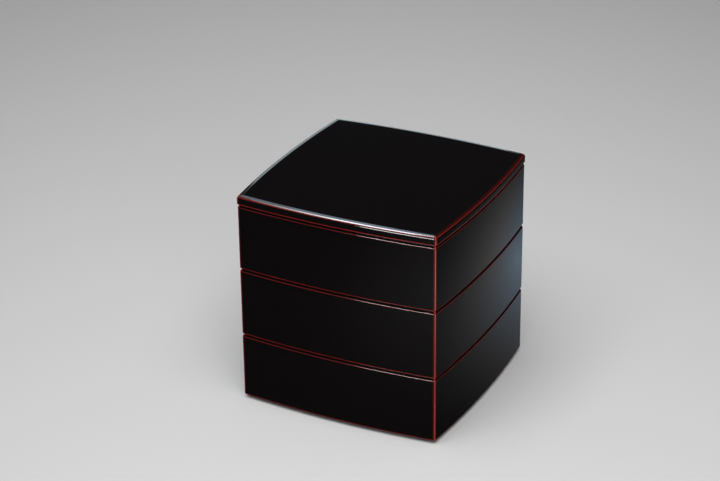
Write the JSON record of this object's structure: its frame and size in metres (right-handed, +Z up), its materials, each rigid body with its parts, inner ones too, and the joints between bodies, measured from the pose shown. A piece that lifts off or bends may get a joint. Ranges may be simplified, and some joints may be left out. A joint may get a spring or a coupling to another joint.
{
  "type": "stacking lacquer jubako box",
  "caption": "Square stacking box with outward-bowed lacquered sides; tiers and a flat lid drop into one another on recessed feet and lift straight off.",
  "frame": {"origin": "centre of the square that the foot stands on, on the table surface", "axes": "+Z up through the stack, -Y towards the front side, +X to the right side; the four sides are alike"},
  "size_m": [0.1962, 0.1962, 0.1965],
  "materials": {
    "black_lacquered_wood": "mirror-gloss black lacquer over a vermilion undercoat that shows where the edges are rubbed",
    "red_lacquered_wood": "glossy vermilion lacquer",
    "key_wood": "bare planed wood, hidden under the lacquer"
  },
  "bodies": {
    "bottom_tier": {"bottom_tier_front_wall": "black_lacquered_wood", "bottom_tier_right_wall": "black_lacquered_wood", "bottom_tier_back_wall": "black_lacquered_wood", "bottom_tier_left_wall": "black_lacquered_wood", "bottom_tier_bottom_board": "red_lacquered_wood", "bottom_tier_corner_keys": "key_wood", "bottom_tier_front_foot": "black_lacquered_wood", "bottom_tier_right_foot": "black_lacquered_wood", "bottom_tier_back_foot": "black_lacquered_wood", "bottom_tier_left_foot": "black_lacquered_wood"},
    "middle_tier": {"middle_tier_front_wall": "black_lacquered_wood", "middle_tier_right_wall": "black_lacquered_wood", "middle_tier_back_wall": "black_lacquered_wood", "middle_tier_left_wall": "black_lacquered_wood", "middle_tier_bottom_board": "red_lacquered_wood", "middle_tier_corner_keys": "key_wood", "middle_tier_front_foot": "black_lacquered_wood", "middle_tier_right_foot": "black_lacquered_wood", "middle_tier_back_foot": "black_lacquered_wood", "middle_tier_left_foot": "black_lacquered_wood"},
    "top_tier": {"top_tier_front_wall": "black_lacquered_wood", "top_tier_right_wall": "black_lacquered_wood", "top_tier_back_wall": "black_lacquered_wood", "top_tier_left_wall": "black_lacquered_wood", "top_tier_bottom_board": "red_lacquered_wood", "top_tier_corner_keys": "key_wood", "top_tier_front_foot": "black_lacquered_wood", "top_tier_right_foot": "black_lacquered_wood", "top_tier_back_foot": "black_lacquered_wood", "top_tier_left_foot": "black_lacquered_wood"},
    "lid": {"lid_panel": "black_lacquered_wood", "lid_front_rail": "black_lacquered_wood", "lid_right_rail": "black_lacquered_wood", "lid_back_rail": "black_lacquered_wood", "lid_left_rail": "black_lacquered_wood", "lid_front_tongue": "black_lacquered_wood", "lid_right_tongue": "black_lacquered_wood", "lid_back_tongue": "black_lacquered_wood", "lid_left_tongue": "black_lacquered_wood"}
  },
  "joints": [
    {"name": "middle_tier_lift", "type": "slide", "parent": "bottom_tier", "child": "middle_tier", "axis": [0, 0, 1], "range_m": [0, 0.1]},
    {"name": "top_tier_lift", "type": "slide", "parent": "middle_tier", "child": "top_tier", "axis": [0, 0, 1], "range_m": [0, 0.1]},
    {"name": "lid_lift", "type": "slide", "parent": "top_tier", "child": "lid", "axis": [0, 0, 1], "range_m": [0, 0.1]}
  ]
}
